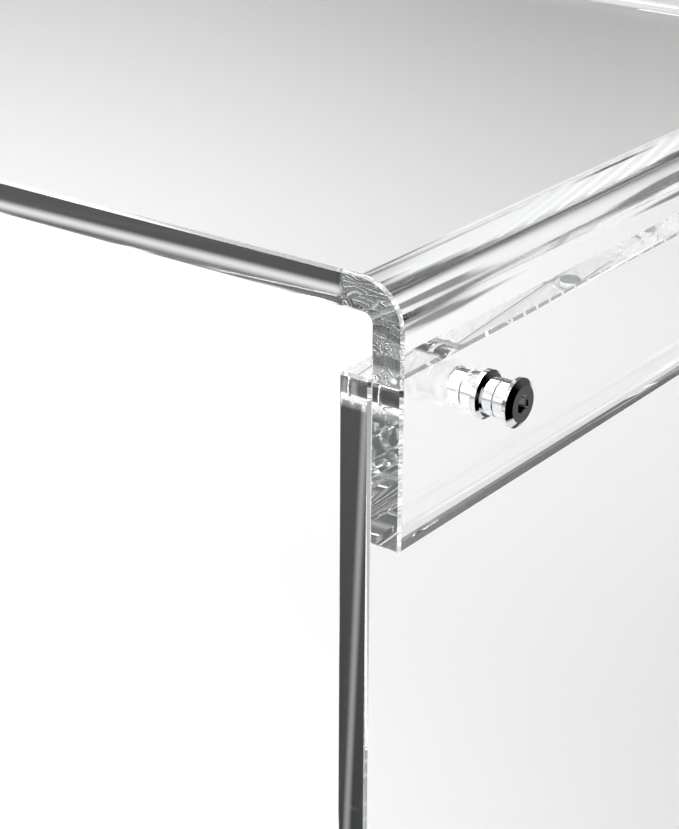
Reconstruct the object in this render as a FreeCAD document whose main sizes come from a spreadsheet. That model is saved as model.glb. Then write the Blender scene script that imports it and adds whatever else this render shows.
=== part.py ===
import FreeCAD, Part
import os
import re
import Sketcher

# A clear acrylic desktop riser. One thick sheet is bent down at its left and right sides into lips.
# A flat side panel stands inside each lip. Four chrome fixings, two on each side, pass through a lip
# and screw into the panel behind it. Each is a stud and a cap, and seats on a thin clear washer.
# Millimetres. The origin is on the desk, under the riser's middle: +X right, +Y back, +Z up.

SIZES = {
    # whole riser
    "riser_width": 600.0,        # outer face of one lip to outer face of the other
    "riser_depth": 315.0,
    "riser_height": 300.0,       # desk to top surface
    # acrylic sheets
    "sheet_thickness": 10.0,
    "sheet_gap": 0.1,            # air between a lip and its side panel
    "lip_drop": 74.8,            # top surface to the lip's lower edge
    "bend_inner_radius": 3.0,
    "edge_bevel": 0.8,           # flame-polished bevel on every sheet edge
    "panel_drop": 27.8,          # top surface to the side panel's upper edge
    # places of the fixings
    "fixing_inset": 37.5,        # end of the sheets to the fixing's axis
    "fixing_drop": 41.4,         # top surface to the fixing's axis
    # fits
    "running_clearance": 0.05,   # radial, where a turned part runs in a bore
    "seat_gap": 0.05,            # film of air between faces that seat on each other
    "mouth_bevel": 0.5,          # bevel at the mouth of each bore
    # stud
    "thread_radius": 5.0,        # M10 fine thread in the side panel
    "thread_pitch": 1.0,
    "thread_depth": 0.6,
    "thread_recess": 0.5,        # stud's end, short of the panel's inner face
    "shank_radius": 5.3,         # plain shank in the lip
    "flange_overhang": 1.6,      # shank to the flange's rim
    "flange_length": 2.2,
    "flange_bevel": 0.8,
    "neck_radius": 5.4,
    "stud_neck_length": 3.2,
    # cap
    "groove_radius": 4.9,        # shallow groove where cap and stud meet
    "groove_width": 0.5,
    "cap_neck_length": 2.9,
    "head_radius": 6.95,
    "head_flare": 1.0,           # cone from the neck out to the head's rim
    "head_rim_length": 1.1,
    "head_bevel_length": 1.3,
    "head_face_radius": 5.2,
    "spigot_radius": 3.0,        # cap's own thread in the stud
    "spigot_length": 6.0,
    "spigot_end_play": 0.5,
    "socket_flats": 5.0,         # hex key size
    "socket_depth": 5.0,
    # washer
    "washer_thickness": 0.5,
    "washer_margin": 0.4,        # flange's overhang past the washer
    # feet
    "foot_radius": 4.2,
    "foot_height": 2.0,
    "foot_round": 0.7,
    "foot_inset": 30.0,          # end of the side panel to the foot's centre
}

document = FreeCAD.newDocument("desktop_riser")
sheet = document.addObject("Spreadsheet::Sheet", "Sizes")
for row, (alias, size) in enumerate(SIZES.items(), start=1):
    sheet.set(f"A{row}", alias)
    sheet.set(f"B{row}", str(size))
    sheet.setAlias(f"B{row}", alias)
document.recompute()


# ---- helpers ----------------------------------------------------------------------------------------

SIZE_NAME = re.compile(r"\b(" + "|".join(SIZES) + r")\b")


def formula(text):
    """Turn size names in a formula into references to the sheet."""
    return SIZE_NAME.sub(r"Sizes.\1", text)


def new_body(name):
    body = document.addObject("PartDesign::Body", name)
    body.Label = name
    return body


def place(body, x="0", y="0", z="0", half_turn=False):
    """Place a body by formulas. half_turn faces it the other way along X."""
    axis_up = FreeCAD.Vector(0, 0, 1)
    turn = FreeCAD.Rotation(axis_up, 180 if half_turn else 0)
    body.Placement = FreeCAD.Placement(FreeCAD.Vector(0, 0, 0), turn)
    body.setExpression("Placement.Base.x", formula(x))
    body.setExpression("Placement.Base.y", formula(y))
    body.setExpression("Placement.Base.z", formula(z))


def new_sketch(body, name, plane_role):
    sketch = body.newObject("Sketcher::SketchObject", name)
    plane = next(f for f in body.Origin.OriginFeatures if f.Role == plane_role)
    sketch.AttachmentSupport = [(plane, "")]
    sketch.MapMode = "FlatFace"
    return sketch


def drive(sketch, constraint, size):
    """Add a dimension to a sketch and bind it to a formula of the sheet's sizes."""
    index = sketch.addConstraint(constraint)
    sketch.setExpression(f"Constraints[{index}]", formula(size))


ORIGIN_POINT = (-1, 1)


def outline(sketch, corners):
    """Draw a closed outline of straight lines through corners given as pairs of formulas."""
    points = [FreeCAD.Vector(value(u), value(v), 0) for u, v in corners]
    count = len(points)
    for index in range(count):
        line = Part.LineSegment(points[index], points[(index + 1) % count])
        sketch.addGeometry(line, False)
    for index in range(count):
        sketch.addConstraint(Sketcher.Constraint("Coincident", index, 2, (index + 1) % count, 1))
    for index, (u, v) in enumerate(corners):
        at_u = Sketcher.Constraint("DistanceX", *ORIGIN_POINT, index, 1, points[index].x)
        at_v = Sketcher.Constraint("DistanceY", *ORIGIN_POINT, index, 1, points[index].y)
        drive(sketch, at_u, u)
        drive(sketch, at_v, v)


def rectangle(sketch, left, right, bottom, top):
    outline(sketch, [(left, bottom), (right, bottom), (right, top), (left, top)])


def circle(sketch, u, v, radius):
    """Draw a circle from formulas for its centre and radius."""
    centre_u, centre_v, size = value(u), value(v), value(radius)
    normal = FreeCAD.Vector(0, 0, 1)
    index = sketch.addGeometry(Part.Circle(FreeCAD.Vector(centre_u, centre_v, 0), normal, size), False)
    drive(sketch, Sketcher.Constraint("DistanceX", *ORIGIN_POINT, index, 3, centre_u), u)
    drive(sketch, Sketcher.Constraint("DistanceY", *ORIGIN_POINT, index, 3, centre_v), v)
    drive(sketch, Sketcher.Constraint("Radius", index, size), radius)


def pad(body, sketch, length, name, midplane=False):
    feature = body.newObject("PartDesign::Pad", name)
    feature.Profile = sketch
    feature.setExpression("Length", formula(length))
    feature.Midplane = midplane
    document.recompute()
    return feature


def cut_through(body, sketch, name):
    """Cut a sketch through the whole body, both ways from its plane."""
    before = body.Tip.Shape.Volume
    feature = body.newObject("PartDesign::Pocket", name)
    feature.Profile = sketch
    feature.Type = "ThroughAll"
    feature.Midplane = True
    document.recompute()
    require_cut(body, before, name)
    return feature


def revolve(body, sketch, name, kind="PartDesign::Revolution"):
    """Turn a sketch a full turn about the body's X axis."""
    feature = body.newObject(kind, name)
    feature.Profile = sketch
    feature.ReferenceAxis = (sketch, ["H_Axis"])
    feature.Angle = 360
    document.recompute()
    return feature


def edge_names(shape, wanted):
    return [f"Edge{n}" for n, edge in enumerate(shape.Edges, start=1) if wanted(edge)]


def break_edges(body, wanted, size, name, kind="PartDesign::Chamfer"):
    """Chamfer (or fillet) the edges of the body's tip that pass the test."""
    tip = body.Tip
    feature = body.newObject(kind, name)
    feature.Base = (tip, edge_names(tip.Shape, wanted))
    feature.setExpression("Radius" if kind.endswith("Fillet") else "Size", formula(size))
    document.recompute()
    return feature


def require_cut(body, before, name):
    if body.Tip.Shape.Volume >= before - 1e-3:
        raise RuntimeError(f"{name} removed nothing")


def value(text):
    return float(sheet.evalExpression(formula(text)))


def near(a, b):
    return abs(a - b) < 1e-4


def lies_in_plane(edge, axis, position):
    box = edge.BoundBox
    low, high = (getattr(box, axis + end) for end in ("Min", "Max"))
    return near(low, position) and near(high, position)


# ---- top panel --------------------------------------------------------------------------------------
# One sheet, heat-bent down at both sides. The bend's two faces share an axis, so its thickness holds.

INSIDE_WIDTH = "riser_width - 2 * sheet_thickness"
BORE_RADIUS = "shank_radius + running_clearance"
FIXING_Y = "riser_depth / 2 - fixing_inset"
FIXING_Z = "riser_height - fixing_drop"


def make_top_panel():
    body = new_body("top_panel")
    block = new_sketch(body, "channel_block", "XZ_Plane")
    rectangle(block, "-riser_width / 2", "riser_width / 2", "riser_height - lip_drop", "riser_height")
    pad(body, block, "riser_depth", "channel_pad", midplane=True)
    inside = new_sketch(body, "channel_inside", "XZ_Plane")
    rectangle(inside, f"-( {INSIDE_WIDTH} ) / 2", f"( {INSIDE_WIDTH} ) / 2",
              "riser_height - lip_drop - sheet_thickness", "riser_height - sheet_thickness")
    cut_through(body, inside, "channel_hollow")

    top = value("riser_height")
    underside = value("riser_height - sheet_thickness")
    lip_edge = value("riser_height - lip_drop")
    half_width = value("riser_width / 2")
    half_depth = value("riser_depth / 2")

    def along_depth(edge):
        return near(edge.BoundBox.YLength, 2 * half_depth)

    def outer_corner(edge):
        at_side = near(abs(edge.BoundBox.XMin), half_width)
        return along_depth(edge) and at_side and near(edge.BoundBox.ZMin, top)

    def inner_corner(edge):
        return along_depth(edge) and near(edge.BoundBox.ZMin, underside)

    def sheet_rim(edge):
        at_an_end = lies_in_plane(edge, "Y", half_depth) or lies_in_plane(edge, "Y", -half_depth)
        return at_an_end or lies_in_plane(edge, "Z", lip_edge)

    outer_radius = "bend_inner_radius + sheet_thickness"
    break_edges(body, outer_corner, outer_radius, "bend_outside", "PartDesign::Fillet")
    break_edges(body, inner_corner, "bend_inner_radius", "bend_inside", "PartDesign::Fillet")
    break_edges(body, sheet_rim, "edge_bevel", "polished_bevel")

    bores = new_sketch(body, "fixing_bores", "YZ_Plane")
    for side in ("", "-"):
        circle(bores, f"{side}( {FIXING_Y} )", FIXING_Z, BORE_RADIUS)
    cut_through(body, bores, "fixing_bore_cut")
    break_edges(body, bore_mouth(BORE_RADIUS), "mouth_bevel", "bore_mouths")
    return body


def bore_mouth(radius):
    """Test for the round edges of a bore of this radius."""
    size = value(radius)

    def wanted(edge):
        return isinstance(edge.Curve, Part.Circle) and near(edge.Curve.Radius, size)

    return wanted


# ---- side panels ------------------------------------------------------------------------------------
# Flat sheets that stand on their feet just inside the lips, with their ends flush with the top panel's.

PANEL_CENTRE_X = "riser_width / 2 - 1.5 * sheet_thickness - sheet_gap"
TAPPED_RADIUS = "thread_radius + running_clearance"


def make_side_panel(name, side):
    body = new_body(name)
    face = new_sketch(body, f"{name}_face", "YZ_Plane")
    rectangle(face, "-riser_depth / 2", "riser_depth / 2", "foot_height", "riser_height - panel_drop")
    pad(body, face, "sheet_thickness", f"{name}_sheet", midplane=True)
    break_edges(body, lambda edge: True, "edge_bevel", f"{name}_bevel")
    bores = new_sketch(body, f"{name}_bores", "YZ_Plane")
    for end in ("", "-"):
        circle(bores, f"{end}( {FIXING_Y} )", FIXING_Z, TAPPED_RADIUS)
    cut_through(body, bores, f"{name}_bore_cut")
    break_edges(body, bore_mouth(TAPPED_RADIUS), "mouth_bevel", f"{name}_mouths")
    place(body, x=f"{side}( {PANEL_CENTRE_X} )")
    return body


# ---- fixings ----------------------------------------------------------------------------------------
# Each fixing is drawn about its own X axis, with x = 0 at the lip's outer face and +X pointing away
# from the riser. It is then moved to its corner, and turned half round for the left side.

WASHER_START = "seat_gap"
FLANGE_START = f"{WASHER_START} + washer_thickness + seat_gap"
FLANGE_END = f"{FLANGE_START} + flange_length"
STUD_END = f"{FLANGE_END} + stud_neck_length"
FLANGE_RADIUS = "shank_radius + flange_overhang"
THREAD_START = "-( 2 * sheet_thickness + sheet_gap - thread_recess )"
THREAD_END = "-( sheet_thickness + sheet_gap )"
GROOVE_COUNT = "floor((sheet_thickness - thread_recess - thread_depth) / thread_pitch) - 1"
CAP_START = f"{STUD_END} + seat_gap"
CAP_NECK_START = f"{CAP_START} + groove_width"
CAP_NECK_END = f"{CAP_NECK_START} + cap_neck_length"
RIM_START = f"{CAP_NECK_END} + head_flare"
RIM_END = f"{RIM_START} + head_rim_length"
HEAD_FACE = f"{RIM_END} + head_bevel_length"


def at_corner(body, end, side):
    lip_face = f"{side} riser_width / 2"
    place(body, x=lip_face, y=f"{end}( {FIXING_Y} )", z=FIXING_Z, half_turn=side == "-")


def make_stud(name, end, side):
    body = new_body(name)
    profile = new_sketch(body, f"{name}_profile", "XY_Plane")
    outline(profile, [
        (THREAD_START, "0"),
        (THREAD_START, "thread_radius - thread_depth"),
        (f"{THREAD_START} + thread_depth", "thread_radius"),
        (THREAD_END, "thread_radius"),
        (THREAD_END, "shank_radius"),
        (FLANGE_START, "shank_radius"),
        (FLANGE_START, FLANGE_RADIUS),
        (f"{FLANGE_END} - flange_bevel", FLANGE_RADIUS),
        (FLANGE_END, f"{FLANGE_RADIUS} - flange_bevel"),
        (FLANGE_END, "neck_radius"),
        (STUD_END, "neck_radius"),
        (STUD_END, "spigot_radius + running_clearance"),
        (f"{STUD_END} - spigot_length - spigot_end_play", "spigot_radius + running_clearance"),
        (f"{STUD_END} - spigot_length - spigot_end_play", "0"),
    ])
    revolve(body, profile, f"{name}_turned")
    cut_thread(body, name)
    at_corner(body, end, side)
    return body


def cut_thread(body, name):
    """Cut the fine thread as a row of V grooves, one to each pitch."""
    before = body.Tip.Shape.Volume
    vee = new_sketch(body, f"{name}_vee", "XY_Plane")
    first = f"{THREAD_END} - 1.5 * thread_pitch"
    outline(vee, [
        (f"{first} - thread_pitch / 2", "thread_radius"),
        (first, "thread_radius - thread_depth"),
        (f"{first} + thread_pitch / 2", "thread_radius"),
    ])
    groove = revolve(body, vee, f"{name}_groove", "PartDesign::Groove")
    rows = body.newObject("PartDesign::LinearPattern", f"{name}_thread")
    rows.Originals = [groove]
    rows.Direction = (vee, ["H_Axis"])
    rows.Reversed = True
    rows.Mode = "Spacing"
    rows.setExpression("Offset", formula("thread_pitch"))
    rows.setExpression("Occurrences", formula(GROOVE_COUNT))
    body.Tip = rows
    document.recompute()
    require_cut(body, before, name)


def make_cap(name, end, side):
    body = new_body(name)
    profile = new_sketch(body, f"{name}_profile", "XY_Plane")
    outline(profile, [
        (f"{CAP_START} - seat_gap - spigot_length", "0"),
        (f"{CAP_START} - seat_gap - spigot_length", "spigot_radius"),
        (CAP_START, "spigot_radius"),
        (CAP_START, "groove_radius"),
        (CAP_NECK_START, "groove_radius"),
        (CAP_NECK_START, "neck_radius"),
        (CAP_NECK_END, "neck_radius"),
        (RIM_START, "head_radius"),
        (RIM_END, "head_radius"),
        (HEAD_FACE, "head_face_radius"),
        (HEAD_FACE, "0"),
    ])
    revolve(body, profile, f"{name}_turned")
    cut_socket(body, name)
    at_corner(body, end, side)
    return body


def cut_socket(body, name):
    """Cut the hex key's socket into the head's face."""
    before = body.Tip.Shape.Volume
    hexagon = new_sketch(body, f"{name}_hexagon", "YZ_Plane")
    hexagon.setExpression("AttachmentOffset.Base.z", formula(HEAD_FACE))
    corner = "socket_flats / sqrt( 3 )"
    half_flats = "socket_flats / 2"
    outline(hexagon, [
        ("0", corner),
        (f"-{half_flats}", f"{corner} / 2"),
        (f"-{half_flats}", f"-{corner} / 2"),
        ("0", f"-{corner}"),
        (half_flats, f"-{corner} / 2"),
        (half_flats, f"{corner} / 2"),
    ])
    socket = body.newObject("PartDesign::Pocket", f"{name}_socket")
    socket.Profile = hexagon
    socket.setExpression("Length", formula("socket_depth"))
    document.recompute()
    require_cut(body, before, name)


def make_washer(name, end, side):
    body = new_body(name)
    ring = new_sketch(body, f"{name}_ring", "YZ_Plane")
    ring.setExpression("AttachmentOffset.Base.z", formula(WASHER_START))
    circle(ring, "0", "0", f"{FLANGE_RADIUS} - washer_margin")
    circle(ring, "0", "0", "shank_radius + running_clearance")
    pad(body, ring, "washer_thickness", f"{name}_disc")
    at_corner(body, end, side)
    return body


# ---- feet -------------------------------------------------------------------------------------------
# Clear soft bumpers, stuck to the lower edges of the side panels and narrower than the sheet.


def make_foot(name, end, side):
    body = new_body(name)
    disc = new_sketch(body, f"{name}_disc", "XY_Plane")
    circle(disc, "0", "0", "foot_radius")
    pad(body, disc, "foot_height", f"{name}_pad")
    break_edges(body, lambda edge: lies_in_plane(edge, "Z", 0), "foot_round", f"{name}_round",
                "PartDesign::Fillet")
    place(body, x=f"{side}( {PANEL_CENTRE_X} )", y=f"{end}( riser_depth / 2 - foot_inset )")
    return body


# ---- the riser --------------------------------------------------------------------------------------

bodies = [
    make_top_panel(),
    make_side_panel("right_side_panel", "+"),
    make_side_panel("left_side_panel", "-"),
]
for end_name, end_sign in (("front", "-"), ("rear", "+")):
    for side_name, side_sign in (("right", "+"), ("left", "-")):
        corner_name = f"{end_name}_{side_name}"
        bodies.append(make_stud(f"{corner_name}_stud", end_sign, side_sign))
        bodies.append(make_cap(f"{corner_name}_cap", end_sign, side_sign))
        bodies.append(make_washer(f"{corner_name}_washer", end_sign, side_sign))
        bodies.append(make_foot(f"{corner_name}_foot", end_sign, side_sign))
document.recompute()

for item in document.Objects:
    if "Invalid" in item.State or "Error" in item.State:
        raise RuntimeError(f"{item.Label} failed: {item.State}")
for body in bodies:
    if body.Shape.isNull() or not body.Shape.isValid() or len(body.Shape.Solids) != 1:
        raise RuntimeError(f"{body.Label} is not one valid solid")

os.makedirs("parts", exist_ok=True)
for body in bodies:
    body.Shape.exportStep(f"parts/{body.Label}.step")
    box = body.Shape.BoundBox
    print(f"{body.Label}: {box.XLength:.2f} x {box.YLength:.2f} x {box.ZLength:.2f} mm, "
          f"volume {body.Shape.Volume / 1000:.2f} cm3")
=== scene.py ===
from math import radians

import bpy
from mathutils import Matrix, Vector


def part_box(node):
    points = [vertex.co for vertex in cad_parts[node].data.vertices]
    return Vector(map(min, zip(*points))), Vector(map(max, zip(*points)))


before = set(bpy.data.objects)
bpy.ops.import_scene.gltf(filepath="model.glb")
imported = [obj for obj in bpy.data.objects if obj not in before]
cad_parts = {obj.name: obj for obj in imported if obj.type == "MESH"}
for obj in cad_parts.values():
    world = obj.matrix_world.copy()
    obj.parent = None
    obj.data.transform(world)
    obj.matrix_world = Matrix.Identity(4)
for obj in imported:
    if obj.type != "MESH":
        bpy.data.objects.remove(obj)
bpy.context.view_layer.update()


# ---- camera -----------------------------------------------------------------------------------
# A long portrait lens looks down at the riser's front right corner, from in front, above and to
# the right. It stands off from the corner where the top, the lip and the sheet's front end meet.

top_low, top_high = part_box("top_panel")
corner = Vector((top_high.x, top_low.y, top_high.z))
stand_off = Vector((0.2780, -0.3966, 0.1796))
turn, tilt, roll = radians(36.895), radians(90 - 23.88), radians(0.259)

camera_data = bpy.data.cameras.new("camera")
camera_data.sensor_width = 36
camera_data.lens = 90.75
camera_data.clip_start = 0.01
camera = bpy.data.objects.new("camera", camera_data)
bpy.context.scene.collection.objects.link(camera)
camera.matrix_world = (
    Matrix.Translation(corner + stand_off)
    @ Matrix.Rotation(turn, 4, "Z")
    @ Matrix.Rotation(tilt, 4, "X")
    @ Matrix.Rotation(roll, 4, "Z")
)
bpy.context.scene.camera = camera


# ---- clear acrylic sheets ---------------------------------------------------------------------
# The top panel and the two side panels are cast acrylic, 10 mm thick, with polished faces and
# flame-polished edges. The top's two lips are bent down hot. Their cut ends carry painted shade
# and painted lines of light, and the sheets carry a faint painted glow inside.

bend_outer_radius = 0.013
bend_axis_x = top_high.x - bend_outer_radius
bend_axis_z = top_high.z - bend_outer_radius
panel_outer_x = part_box("right_side_panel")[1].x

clear = (1, 1, 1, 1)
black = (0, 0, 0, 1)
# The next six colours are painted light and shade: the cut edges' dim glow and dark shade, the lip
# end's grey, the rear ends' shade, the bend's grey streaks and the bend's glow.
painted_edge_glow_base = (0.045, 0.046, 0.047, 1)
painted_edge_shade = (0.0003, 0.00032, 0.00032, 1)
painted_end_shade = (0.17, 0.175, 0.175, 1)
painted_rear_shade = (0.04, 0.042, 0.042, 1)
painted_streak_shade = (0.10, 0.10, 0.10, 1)
painted_bend_glow = (0.30, 0.30, 0.30, 1)
dusty = (0.45, 0.45, 0.44, 1)
trapped_loss = (0.0, 0.02, 0.02, 1)
# A painted glow inside the sheets.
painted_inner_glow_colour = (0.98, 1.0, 1.0, 1)

# Each pair says where something starts and where it is full: first facings, then metres, then
# shares of a noise.
front_facing, rear_facing = (-0.85, -0.95), (0.3, 0.5)
face_facing, crease_facing = (0.5, 0.2), (-0.4, -0.9)
bore_reach, crease_reach = (0.0078, 0.0060), (0.0078, 0.0058)
streak_reach, ripple_reach = (0.001, 0.0), (0.003, 0.0)
outer_skin, shade_past_line = (0.0010, 0.0005), (0.0, 0.0016)
glow_heights = (bend_axis_z + 0.0100, bend_axis_z + 0.0112)
streak_share, wipe_share = (0.50, 0.60), (0.5, 0.75)
speck_size, speck_chance = (0.028, 0.016), (0.90, 0.92)

bore_seen_z = 0.2695
streak_stretch = 0.03
wipe_roughness, bend_roughness = 0.006, 0.13
crease_height, ripple_height = 0.0026, 0.000005
painted_inner_glow_strength = 0.85


class Value:
    """A socket of a shader, with Python's operators for its maths."""

    def __init__(self, shader, socket):
        self.shader = shader
        self.socket = socket

    def sibling(self, output):
        """Another output of the same node."""
        return Value(self.shader, self.socket.node.outputs[output])

    def maths(self, operation, *others):
        return self.shader.node("ShaderNodeMath", {"operation": operation}, [self, *others])

    def __add__(self, other):
        return self.maths("ADD", other)

    def __mul__(self, other):
        return self.maths("MULTIPLY", other)

    def __sub__(self, other):
        return self.maths("SUBTRACT", other)

    def __rsub__(self, other):
        return self.shader.node("ShaderNodeMath", {"operation": "SUBTRACT"}, [other, self])

    def __abs__(self):
        return self.maths("ABSOLUTE")

    __radd__ = __add__
    __rmul__ = __mul__


class Shader:
    """The nodes of a new material or world, and the one way that they are made."""

    def __init__(self, owner, output="ShaderNodeOutputMaterial"):
        self.owner = owner
        owner.use_nodes = True
        self.tree = owner.node_tree
        self.tree.nodes.clear()
        self.output = self.tree.nodes.new(output)

    def node(self, kind, settings=None, inputs=(), output=0):
        """Add a node. inputs is a list in socket order, or a dict by socket name."""
        made = self.tree.nodes.new(kind)
        for name, setting in (settings or {}).items():
            setattr(made, name, setting)
        pairs = inputs.items() if isinstance(inputs, dict) else enumerate(inputs)
        for key, given in pairs:
            if isinstance(given, Value):
                self.tree.links.new(given.socket, made.inputs[key])
            elif given is not None:
                made.inputs[key].default_value = given
        return Value(self, made.outputs[output])

    def mix(self, share, colour, other):
        """A colour part way to another."""
        inputs = {0: share, 6: colour, 7: other}
        return self.node("ShaderNodeMix", {"data_type": "RGBA"}, inputs, 2)

    def noise(self, vector, scale, detail):
        inputs = {"Vector": vector, "Scale": scale, "Detail": detail}
        return self.node("ShaderNodeTexNoise", {}, inputs)

    def bump(self, height):
        """A normal from a height in metres."""
        inputs = {"Strength": 1.0, "Distance": 1.0, "Height": height}
        return self.node("ShaderNodeBump", {}, inputs)

    def finish(self, surface, volume=None):
        self.tree.links.new(surface.socket, self.output.inputs["Surface"])
        if volume is not None:
            self.tree.links.new(volume.socket, self.output.inputs["Volume"])
        return self.owner


def smooth_step(number, start, end):
    """0 before start and 1 past end, eased in between. start may be the larger."""
    return number.shader.node("ShaderNodeMapRange", {"interpolation_type": "SMOOTHSTEP"}, {
        "Value": number, "From Min": start, "From Max": end, "To Min": 0.0, "To Max": 1.0})


def larger(number, other):
    return number.maths("MAXIMUM", other)


def root(number):
    return number.maths("SQRT")


def below_top_face(x, z):
    """How deep a point is in the top panel's sheet: on the flat, round the bend, down the lip."""
    past_x = larger(abs(x) - bend_axis_x, 0.0)
    past_z = larger(z - bend_axis_z, 0.0)
    return bend_outer_radius - root(past_x * past_x + past_z * past_z)


def clear_acrylic(name, layout, bent=False):
    """Clear acrylic with painted shade and a painted line of light on its cut edges. layout places
    the painted line along the sheet's front cut edge, and says where that edge gets painted shade,
    the line's half width and brightness, and how clear the edge is beyond."""
    shader = Shader(bpy.data.materials.new(name))
    coordinates = shader.node("ShaderNodeTexCoord", output=3)
    x = shader.node("ShaderNodeSeparateXYZ", {}, [coordinates])
    y, z = x.sibling(1), x.sibling(2)
    facing = shader.node("ShaderNodeTexCoord", output=1)
    facing_y = shader.node("ShaderNodeSeparateXYZ", {}, [facing], 1)
    past_line, cut_edge, half_width, glow, beyond_line = layout(x, z)

    # The front cut edge gets painted dark shade in its base colour, and a painted line of light
    # and a dim painted glow in its emission colour.
    at_front = smooth_step(facing_y, *front_facing)
    line = smooth_step(abs(past_line), half_width, 0.0)
    painted_edge_line = shader.mix(line, painted_edge_glow_base, (glow, glow, glow, 1))
    painted_glow = shader.mix(at_front * cut_edge, black, painted_edge_line)
    edge = shader.mix(smooth_step(past_line, *shade_past_line) * beyond_line, painted_edge_shade, clear)
    elsewhere = clear
    if bent:
        # The lip's end gets a painted grey shade, but for the height at which the bore and its
        # stud are seen.
        at_bore = smooth_step(abs(z - bore_seen_z), *bore_reach)
        elsewhere = shader.mix(at_bore, painted_end_shade, clear)
    tint = shader.mix(at_front, clear, shader.mix(cut_edge, elsewhere, edge))

    # The rear cut edges get painted shade, and so let less light through.
    tint = shader.mix(smooth_step(facing_y, *rear_facing), tint, painted_rear_shade)

    if bent:
        # A few long grey streaks of painted shade lie in the bend's outer face.
        past_bend = larger(bend_axis_x - abs(x), (bend_axis_z - z) * 0.5)
        in_bend = smooth_step(past_bend, *streak_reach)
        on_faces = smooth_step(abs(facing_y), *face_facing)
        along = shader.node("ShaderNodeCombineXYZ", {}, [x, y * streak_stretch, z])
        streak_noise = shader.noise(along, 300.0, 1.5)
        streak = smooth_step(streak_noise, *streak_share) * in_bend
        outer = smooth_step(below_top_face(x, z), *outer_skin) * on_faces
        tint = shader.mix(streak * outer, tint, painted_streak_shade)

        # The start of the bend gets a painted glow, left out where the streaks lie.
        bend_start = smooth_step(z, *glow_heights) * in_bend
        painted_glow = shader.mix(bend_start * outer * (1 - streak), painted_glow, painted_bend_glow)

    # A few specks of dust sit on the faces.
    to_speck = shader.node("ShaderNodeTexVoronoi", {}, {
        "Vector": coordinates, "Scale": 75.0, "Randomness": 1.0})
    chance = shader.node("ShaderNodeSeparateColor", {}, [to_speck.sibling(1)])
    speck = smooth_step(to_speck, *speck_size) * smooth_step(chance, *speck_chance)
    tint = shader.mix(speck, tint, dusty)

    # The faces keep very faint wipe marks.
    wiped = shader.noise(coordinates, 14.0, 3.0)
    roughness = smooth_step(wiped, *wipe_share) * wipe_roughness

    normal = None
    if bent:
        # Bending creases the cut end around the bend, ripples its faces and dulls its start.
        folds = shader.node("ShaderNodeTexVoronoi", {}, {
            "Vector": coordinates, "Scale": 150.0, "Detail": 0.0, "Randomness": 1.0})
        near_bend = smooth_step(past_bend, *crease_reach)
        creases = folds * near_bend * smooth_step(facing_y, *crease_facing)
        waves = shader.noise(along, 260.0, 0.0)
        ripples = waves * smooth_step(past_bend, *ripple_reach) * on_faces
        normal = shader.bump(creases * crease_height + ripples * ripple_height)
        roughness = roughness + bend_start * bend_roughness

    surface = shader.node("ShaderNodeBsdfPrincipled", {}, {
        "Base Color": tint,
        "Roughness": roughness,
        "IOR": 1.49,
        "Transmission Weight": 1.0,
        "Emission Color": painted_glow,
        "Emission Strength": 1.0,
        "Normal": normal,
    })
    # Light that stays trapped between the faces dims a little, and a faint painted glow inside the
    # sheets gives some back.
    dimming = shader.node("ShaderNodeVolumeAbsorption", {}, {
        "Color": trapped_loss, "Density": 0.4})
    painted_inner_glow = shader.node("ShaderNodeEmission", {}, {
        "Color": painted_inner_glow_colour, "Strength": painted_inner_glow_strength})
    material = shader.finish(surface, shader.node("ShaderNodeAddShader", {}, [dimming, painted_inner_glow]))
    material.cycles.emission_sampling = "NONE"
    return material


def dress(node, material):
    """Give a CAD node one material all over."""
    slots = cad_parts[node].data.materials
    slots.clear()
    slots.append(material)


def top_layout(x, z):
    """The painted line of light rises from 7.2 mm to 5.7 mm below the top face, and ends just
    short of the bend.
    """
    deepest, deepest_x, rise = 0.0072, 0.163, 0.0130
    line_depth = deepest - (abs(x) - deepest_x) * rise
    flat = smooth_step(abs(x), bend_axis_x - 0.0055, bend_axis_x - 0.0075)
    half_width, glow, beyond_line = 0.0021, 0.72, 0.02
    return below_top_face(x, z) - line_depth, flat, half_width, glow, beyond_line


def panel_layout(x, z):
    """The painted line of light drifts across the edge, from near the outer face at the bore to
    the inner face.
    """
    start_depth, start_z, drift = 0.0019, 0.2503, 0.0392
    line_depth = start_depth + (start_z - z) * drift
    below_bore = smooth_step(z, 0.2655, 0.2625)
    half_width, glow, beyond_line = 0.0018, 0.30, 0.0
    return panel_outer_x - abs(x) - line_depth, below_bore, half_width, glow, beyond_line


dress("top_panel", clear_acrylic("top_acrylic", top_layout, bent=True))
panel_acrylic = clear_acrylic("panel_acrylic", panel_layout)
dress("right_side_panel", panel_acrylic)
dress("left_side_panel", panel_acrylic)
for sheet in ("top_panel", "right_side_panel", "left_side_panel"):
    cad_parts[sheet].visible_shadow = False


# ---- chrome fixings ---------------------------------------------------------------------------
# Four studs and four caps, turned from brass and chrome-plated, hold the lips to the side panels.
# Each stud goes through the lip into the panel, and its cap is screwed on outside.

corners = [f"{end}_{side}" for end in ("front", "rear") for side in ("right", "left")]


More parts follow.
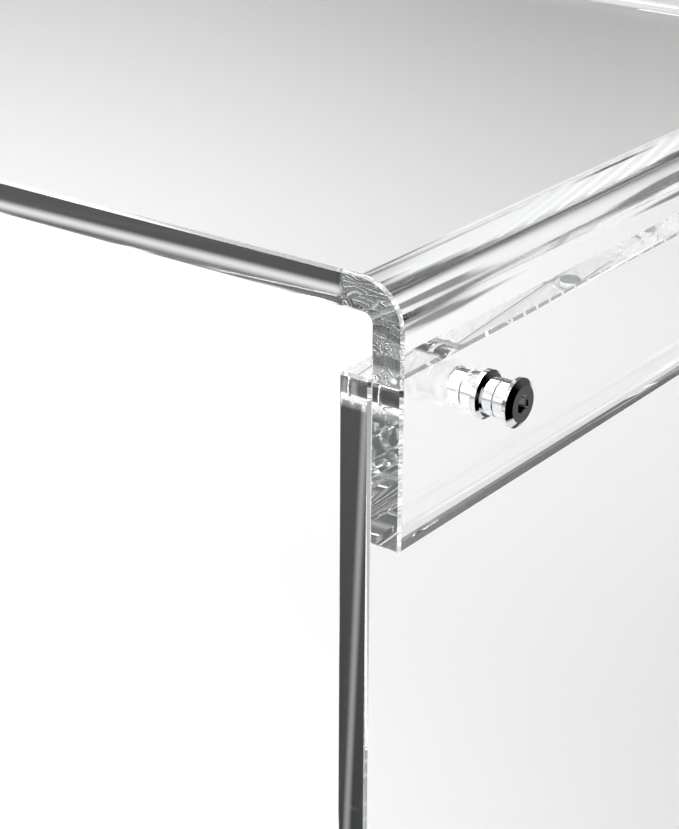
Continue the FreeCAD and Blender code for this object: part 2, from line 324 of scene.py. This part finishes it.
def bright_chrome():
    """Chrome plate over turned brass: fine rings from the lathe, and a faint film in places."""
    shader = Shader(bpy.data.materials.new("bright_chrome"))
    coordinates = shader.node("ShaderNodeTexCoord", output=3)
    x = shader.node("ShaderNodeSeparateXYZ", {}, [coordinates])
    rings_per_metre, ring_height = 9000.0, 0.0000012
    rings = shader.node("ShaderNodeTexNoise", {"noise_dimensions": "1D"}, {
        "W": x * rings_per_metre, "Scale": 1.0, "Detail": 2.0})
    film = shader.noise(coordinates, 420.0, 3.0)
    clean_roughness, film_roughness = 0.02, 0.06
    surface = shader.node("ShaderNodeBsdfPrincipled", {}, {
        "Base Color": shader.mix(film, (0.74, 0.75, 0.77, 1), (0.86, 0.87, 0.88, 1)),
        "Metallic": 1.0,
        "Roughness": smooth_step(film, 0.4, 0.8) * film_roughness + clean_roughness,
        "Normal": shader.bump(rings * ring_height),
    })
    return shader.finish(surface)


chrome = bright_chrome()
for where in corners:
    dress(f"{where}_stud", chrome)
    dress(f"{where}_cap", chrome)


# ---- washers and feet -------------------------------------------------------------------------
# Thin clear washers keep the chrome off the acrylic. Clear soft bumpers, stuck under the side
# panels, keep the riser off the desk.


def clear_soft(name, smooth, dull, grain):
    """Clear moulded plastic. Its roughness runs from smooth to dull, and grain is its height."""
    shader = Shader(bpy.data.materials.new(name))
    coordinates = shader.node("ShaderNodeTexCoord", output=3)
    patches = shader.noise(coordinates, 500.0, 3.0)
    pits = shader.noise(coordinates, 2600.0, 1.0)
    surface = shader.node("ShaderNodeBsdfPrincipled", {}, {
        "Base Color": shader.mix(patches, (0.90, 0.92, 0.92, 1), (0.98, 0.99, 0.99, 1)),
        "Roughness": patches * (dull - smooth) + smooth,
        "IOR": 1.45,
        "Transmission Weight": 1.0,
        "Normal": shader.bump(pits * grain),
    })
    return shader.finish(surface)


washer_plastic = clear_soft("clear_washer", smooth=0.05, dull=0.25, grain=0.000004)
silicone = clear_soft("clear_silicone", smooth=0.2, dull=0.45, grain=0.00002)
for where in corners:
    dress(f"{where}_washer", washer_plastic)
    dress(f"{where}_foot", silicone)


# ---- studio -----------------------------------------------------------------------------------
# A pale floor under one large soft light, in a room that is dark around the riser. The floor is
# left out of mirror reflections, so the sheets' faces reflect the room.

floor_reach, floor_drop = 30.0, 0.0005
floor_corners = ((-1, -1), (1, -1), (1, 1), (-1, 1))
floor_paint = Shader(bpy.data.materials.new("pale_floor"))
pale = floor_paint.node("ShaderNodeBsdfPrincipled", {}, {
    "Base Color": (0.9, 0.9, 0.9, 1), "Roughness": 0.6})
floor_mesh = bpy.data.meshes.new("floor")
floor_mesh.from_pydata(
    [(x * floor_reach, y * floor_reach, -floor_drop) for x, y in floor_corners],
    [], [(0, 1, 2, 3)])
floor_mesh.materials.append(floor_paint.finish(pale))
floor = bpy.data.objects.new("floor", floor_mesh)
bpy.context.scene.collection.objects.link(floor)
floor.visible_glossy = False

overhead_place, overhead_aim = Vector((-0.45, -0.1, 1.3)), Vector((-0.25, 0.1, 0.0))
overhead_light = bpy.data.lights.new("overhead", "AREA")
overhead_light.shape = "RECTANGLE"
overhead_light.size = overhead_light.size_y = 1.5
overhead_light.energy = 26.5
overhead = bpy.data.objects.new("overhead", overhead_light)
bpy.context.scene.collection.objects.link(overhead)
overhead.location = overhead_place
overhead.rotation_euler = (overhead_aim - overhead_place).to_track_quat("-Z", "Y").to_euler()

# Each glow has a direction, the cosines off it where its light starts and is full, and a level.
room_glows = (
    ((0.0, 1.0, 0.0), 0.2, 0.9, 0.09),  # grey behind
    ((-0.62, -0.66, 0.42), 0.45, 0.80, 1.0),  # light in front, to the left
    ((0.10, -0.98, 0.15), 0.55, 0.85, 0.8),  # light straight in front
    ((0.2, 0.1, -0.97), 0.86, 0.94, 0.9),  # light underfoot
    ((-0.9, 0.3, 0.3), 0.75, 0.95, 0.5),  # light to the left
    ((0.55, 0.70, -0.45), 0.80, 0.98, 0.03),  # nearly black behind, to the right
)


def dim_room():
    """A room whose light is the sum of its glows, and black between them."""
    shader = Shader(bpy.data.worlds.new("room"), "ShaderNodeOutputWorld")
    way = shader.node("ShaderNodeTexCoord")
    total = 0.0
    for toward, start, end, level in room_glows:
        cosine = shader.node("ShaderNodeVectorMath", {"operation": "DOT_PRODUCT"}, [
            way, Vector(toward).normalized()], 1)
        total = total + smooth_step(cosine, start, end) * level
    return shader.finish(shader.node("ShaderNodeBackground", {}, {
        "Color": (1.0, 1.0, 1.0, 1), "Strength": total}))


bpy.context.scene.world = dim_room()

# Light goes back and forth many times in a clear sheet before it leaves.
cycles = bpy.context.scene.cycles
cycles.max_bounces = 40
cycles.transmission_bounces = 40
cycles.glossy_bounces = 40
cycles.caustics_refractive = False
bpy.context.scene.view_settings.view_transform = "Standard"
